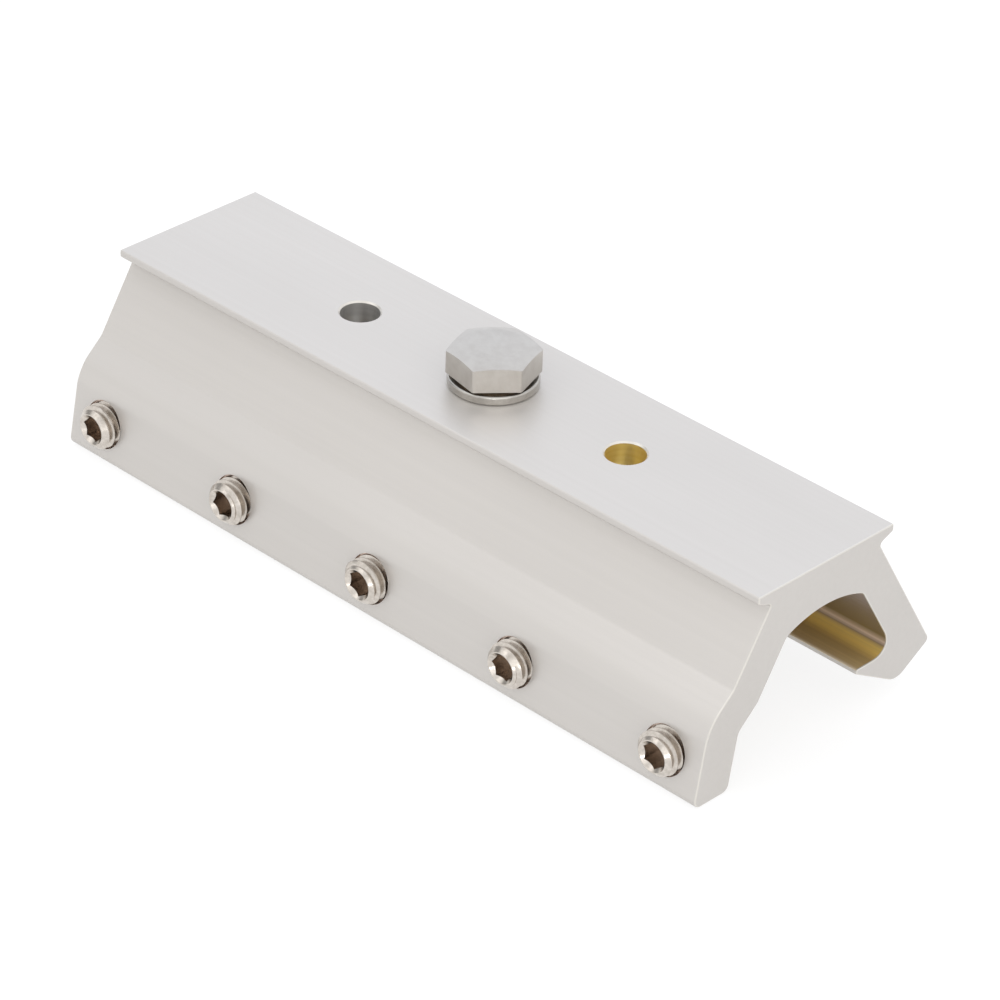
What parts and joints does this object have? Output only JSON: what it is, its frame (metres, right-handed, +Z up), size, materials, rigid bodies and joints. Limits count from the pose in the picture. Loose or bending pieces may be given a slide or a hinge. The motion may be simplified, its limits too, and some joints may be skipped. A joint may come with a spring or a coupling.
{
  "type": "solar roof clamp",
  "caption": "Extruded aluminium clamp for standing seam roofs: a flat mounting face with two holes and a hex bolt, over a hooked channel that hex socket set screws close on the seam.",
  "frame": {"origin": "middle of the flat mounting face, halfway between the two mounting holes", "axes": "+X along the extrusion, +Y towards the hook leg, so that the set screws face -Y, +Z up out of the mounting face"},
  "size_m": [0.18, 0.0696, 0.05],
  "materials": {
    "clamp_aluminium": "clear anodised, satin",
    "washer_steel": "plain stainless, rolled",
    "bolt_steel": "plain stainless, cold headed",
    "screw_steel": "plain stainless, turned"
  },
  "bodies": {
    "clamp": {"clamp_body": "clamp_aluminium", "flat_washer": "washer_steel"},
    "bolt": {"hex_bolt": "bolt_steel"},
    "screw_1": {"set_screw_1": "screw_steel"},
    "screw_2": {"set_screw_2": "screw_steel"},
    "screw_3": {"set_screw_3": "screw_steel"},
    "screw_4": {"set_screw_4": "screw_steel"},
    "screw_5": {"set_screw_5": "screw_steel"}
  },
  "joints": [
    {"name": "bolt_travel", "type": "slide", "parent": "clamp", "child": "bolt", "axis": [0, 0, 1], "range_m": [0, 0.008]},
    {"name": "screw_1_travel", "type": "slide", "parent": "clamp", "child": "screw_1", "axis": [0, 1, 0], "range_m": [-0.0035, 0.008]},
    {"name": "screw_2_travel", "type": "slide", "parent": "clamp", "child": "screw_2", "axis": [0, 1, 0], "range_m": [-0.0035, 0.008]},
    {"name": "screw_3_travel", "type": "slide", "parent": "clamp", "child": "screw_3", "axis": [0, 1, 0], "range_m": [-0.0035, 0.008]},
    {"name": "screw_4_travel", "type": "slide", "parent": "clamp", "child": "screw_4", "axis": [0, 1, 0], "range_m": [-0.0035, 0.008]},
    {"name": "screw_5_travel", "type": "slide", "parent": "clamp", "child": "screw_5", "axis": [0, 1, 0], "range_m": [-0.0035, 0.008]}
  ]
}
